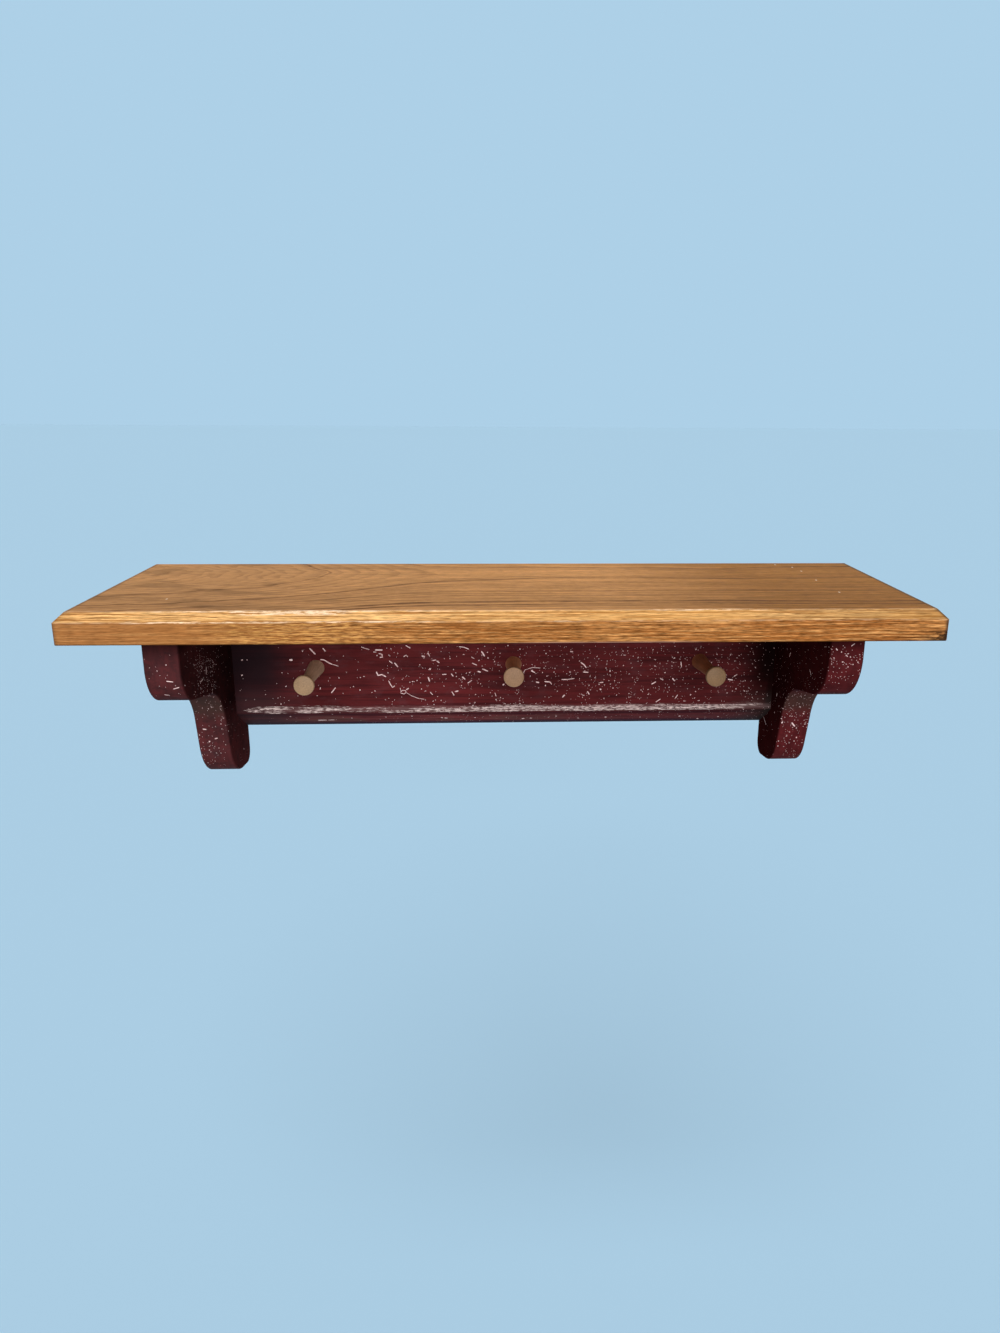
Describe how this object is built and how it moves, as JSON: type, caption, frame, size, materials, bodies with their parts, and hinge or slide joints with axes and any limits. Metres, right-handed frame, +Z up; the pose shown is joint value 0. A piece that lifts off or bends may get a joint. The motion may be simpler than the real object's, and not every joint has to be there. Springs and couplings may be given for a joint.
{
  "type": "wall shelf with pegs",
  "caption": "Wall shelf with a chamfered stained top on painted scroll-cut brackets, with turned pegs in a board between them.",
  "frame": {"origin": "on the wall, midway between the entry holes of the two keyhole plates", "axes": "+X along the shelf to the viewer's right, +Y into the wall, +Z up"},
  "size_m": [0.61, 0.19, 0.1775],
  "materials": {
    "stained_top": "honey-stained hardwood, satin, edges eased and slightly worn",
    "red_paint": "brushed burgundy paint, semi-gloss, spattered with off-white paint and rubbed pale along one edge",
    "peg_wood": "bare pale turned hardwood",
    "dowel_wood": "plain beech, unseen",
    "plate_steel": "zinc-plated steel",
    "screw_steel": "zinc-plated steel"
  },
  "bodies": {
    "root": {"shelf_top": "stained_top", "bracket_left": "red_paint", "bracket_right": "red_paint", "peg_board": "red_paint", "peg_left": "peg_wood", "peg_middle": "peg_wood", "peg_right": "peg_wood", "board_dowel_left": "dowel_wood", "board_dowel_middle": "dowel_wood", "board_dowel_right": "dowel_wood", "bracket_dowel_left_back": "dowel_wood", "bracket_dowel_left_front": "dowel_wood", "rail_dowel_left_upper": "dowel_wood", "rail_dowel_left_lower": "dowel_wood", "bracket_dowel_right_back": "dowel_wood", "bracket_dowel_right_front": "dowel_wood", "rail_dowel_right_upper": "dowel_wood", "rail_dowel_right_lower": "dowel_wood", "plate_screw_left_upper": "screw_steel", "plate_screw_left_lower": "screw_steel", "plate_screw_right_upper": "screw_steel", "plate_screw_right_lower": "screw_steel", "keyhole_plate_left": "plate_steel", "keyhole_plate_right": "plate_steel"}
  },
  "joints": []
}
